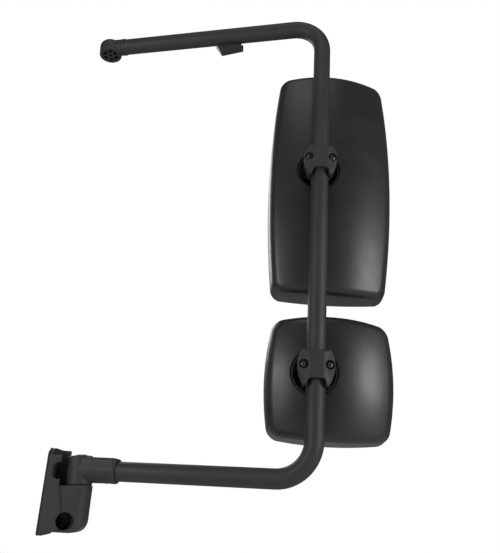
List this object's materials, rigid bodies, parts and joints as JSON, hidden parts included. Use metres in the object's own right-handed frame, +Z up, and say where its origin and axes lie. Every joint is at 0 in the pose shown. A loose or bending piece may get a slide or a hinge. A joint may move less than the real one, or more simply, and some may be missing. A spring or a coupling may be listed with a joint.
{
  "type": "truck door towing mirror",
  "caption": "Truck door mirror on a folding C-shaped tube: a tall main head and a square wide-angle head, each clamped to the tube and free to turn and tilt.",
  "frame": {"origin": "midway between the two door bolt holes, on the gasket's face that lies against the door", "axes": "+X outboard from the door, +Y towards the glass side of the heads, +Z up along the pole"},
  "size_m": [0.5797, 0.1305, 0.934],
  "materials": {
    "cast_black": "satin black powder coat on a casting",
    "tube_black": "satin black powder coat on steel tube",
    "plug_plastic": "moulded, matt",
    "rubber_black": "moulded, matt",
    "zinc_steel": "zinc plated",
    "bronze": "sintered, oiled",
    "housing_plastic": "fine grained black moulding with a soft sheen",
    "bezel_plastic": "fine grained black moulding",
    "dish_plastic": "matt black moulding",
    "carrier_plastic": "matt black moulding",
    "mirror_glass": "first surface bright, ground edge"
  },
  "bodies": {
    "bracket": {"door_bracket": "cast_black", "door_gasket": "rubber_black", "pivot_bolt": "zinc_steel", "thrust_washer": "zinc_steel", "disc_springs": "zinc_steel"},
    "arm": {"fold_knuckle": "cast_black", "pivot_bushes": "bronze", "socket_screws": "zinc_steel", "loop_tube": "tube_black", "upper_boss": "cast_black", "boss_collar": "tube_black", "boss_plug": "plug_plastic", "tube_clip": "tube_black"},
    "main_clamp": {"main_clamp_cap": "cast_black", "main_clamp_saddle": "cast_black", "main_clamp_liner": "rubber_black", "main_clamp_screws": "zinc_steel", "main_clamp_nuts": "zinc_steel"},
    "main_head": {"main_swivel_dish": "dish_plastic", "main_swivel_pin": "zinc_steel", "main_swivel_washers": "zinc_steel", "main_housing": "housing_plastic", "main_mounting_plate": "zinc_steel", "main_plate_screws": "zinc_steel", "main_dish_screws": "zinc_steel", "main_backing_plate": "carrier_plastic", "main_glass": "mirror_glass", "main_bezel": "bezel_plastic"},
    "lower_clamp": {"lower_clamp_cap": "cast_black", "lower_clamp_saddle": "cast_black", "lower_clamp_liner": "rubber_black", "lower_clamp_screws": "zinc_steel", "lower_clamp_nuts": "zinc_steel"},
    "lower_head": {"lower_swivel_dish": "dish_plastic", "lower_swivel_pin": "zinc_steel", "lower_swivel_washers": "zinc_steel", "lower_housing": "housing_plastic", "lower_mounting_plate": "zinc_steel", "lower_plate_screws": "zinc_steel", "lower_dish_screws": "zinc_steel", "lower_backing_plate": "carrier_plastic", "lower_glass": "mirror_glass", "lower_bezel": "bezel_plastic"}
  },
  "joints": [
    {"name": "arm_fold", "type": "hinge", "parent": "bracket", "child": "arm", "pos_m": [0.0465, 0, 0.04], "axis": [-0.0756, 0.0157, 0.997], "range_deg": [-75, 65]},
    {"name": "main_pan", "type": "hinge", "parent": "arm", "child": "main_clamp", "pos_m": [0.40548, -0.07434, 0.5655], "axis": [0, 0, 1], "range_deg": [-45, 45]},
    {"name": "main_tilt", "type": "hinge", "parent": "main_clamp", "child": "main_head", "pos_m": [0.40548, -0.02434, 0.5655], "axis": [1, 0, 0], "range_deg": [-4, 4]},
    {"name": "lower_pan", "type": "hinge", "parent": "arm", "child": "lower_clamp", "pos_m": [0.40548, -0.07434, 0.204], "axis": [0, 0, 1], "range_deg": [-45, 45]},
    {"name": "lower_tilt", "type": "hinge", "parent": "lower_clamp", "child": "lower_head", "pos_m": [0.40548, -0.02434, 0.204], "axis": [1, 0, 0], "range_deg": [-5, 5]}
  ]
}
